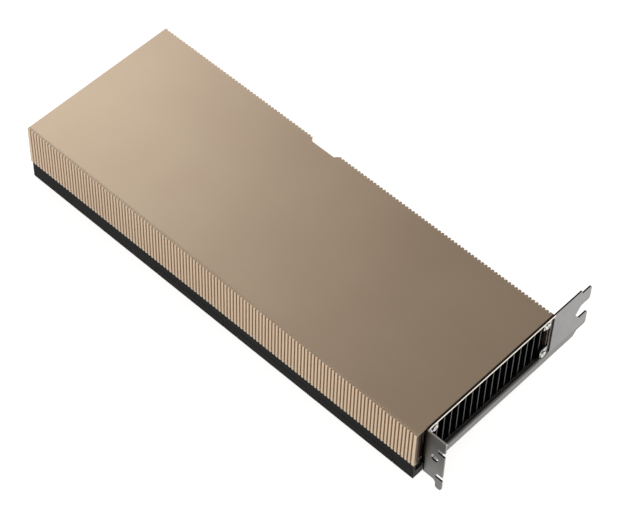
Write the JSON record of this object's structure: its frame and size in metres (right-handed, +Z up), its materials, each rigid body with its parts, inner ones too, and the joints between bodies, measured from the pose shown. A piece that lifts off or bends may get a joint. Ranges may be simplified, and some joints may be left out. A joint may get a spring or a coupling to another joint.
{
  "type": "passive accelerator card",
  "caption": "Passive accelerator card: ribbed anodised shroud over a fin stack, black frame and backplate, card-edge connector and steel slot bracket with an open vent.",
  "frame": {"origin": "centre of the footprint's bounding box, at the height of the lowest point, the tip of the bracket's tab", "axes": "+X along the card towards the slot bracket, +Y across the card towards the card-edge connector, +Z up from the backplate to the shroud's top"},
  "size_m": [0.2792, 0.1256, 0.0403],
  "materials": {
    "champagne_anodised": "brushed, champagne anodised",
    "bracket_steel": "satin zinc plated sheet",
    "frame_steel": "bare stainless sheet",
    "black_casting": "fine matte black coating",
    "black_backplate": "fine matte black coating",
    "film": "thin polyester film",
    "laminate": "dark solder resist",
    "contact_gold": "gold flash",
    "black_cap": "moulded, satin",
    "black_anodised": "black anodised",
    "substrate": "package laminate",
    "silicon": "polished, dark grey",
    "thermal_pad": "soft, matte grey",
    "screw_steel": "bright nickel plated",
    "black_screw": "black oxide",
    "ferrite": "pressed powder, grey",
    "epoxy": "moulded epoxy",
    "capacitor_case": "moulded, dark",
    "connector_plastic": "moulded nylon"
  },
  "bodies": {
    "root": {"shroud": "champagne_anodised", "io_bracket": "bracket_steel", "front_frame": "frame_steel", "rear_frame": "frame_steel", "base_frame": "black_casting", "backplate": "black_backplate", "insulating_film": "film", "circuit_board": "laminate", "edge_contacts_front": "contact_gold", "edge_contacts_back": "contact_gold", "bridge_contacts": "contact_gold", "bridge_cap_1": "black_cap", "bridge_cap_2": "black_cap", "bridge_cap_3": "black_cap", "heatsink_base": "black_anodised", "heatsink_fins": "black_anodised", "package_substrate": "substrate", "package_frame": "frame_steel", "processor_die": "silicon", "memory_stacks": "silicon", "thermal_interface": "thermal_pad", "retention_spring": "frame_steel", "retention_posts": "screw_steel", "retention_screws": "screw_steel", "backplate_screws": "black_screw", "bracket_screws": "screw_steel", "rear_screws": "screw_steel", "power_inductors": "ferrite", "inductor_pads": "thermal_pad", "power_stages": "epoxy", "input_capacitors": "capacitor_case", "controller_chips": "epoxy", "power_connector": "connector_plastic", "power_pins": "contact_gold"}
  },
  "joints": []
}
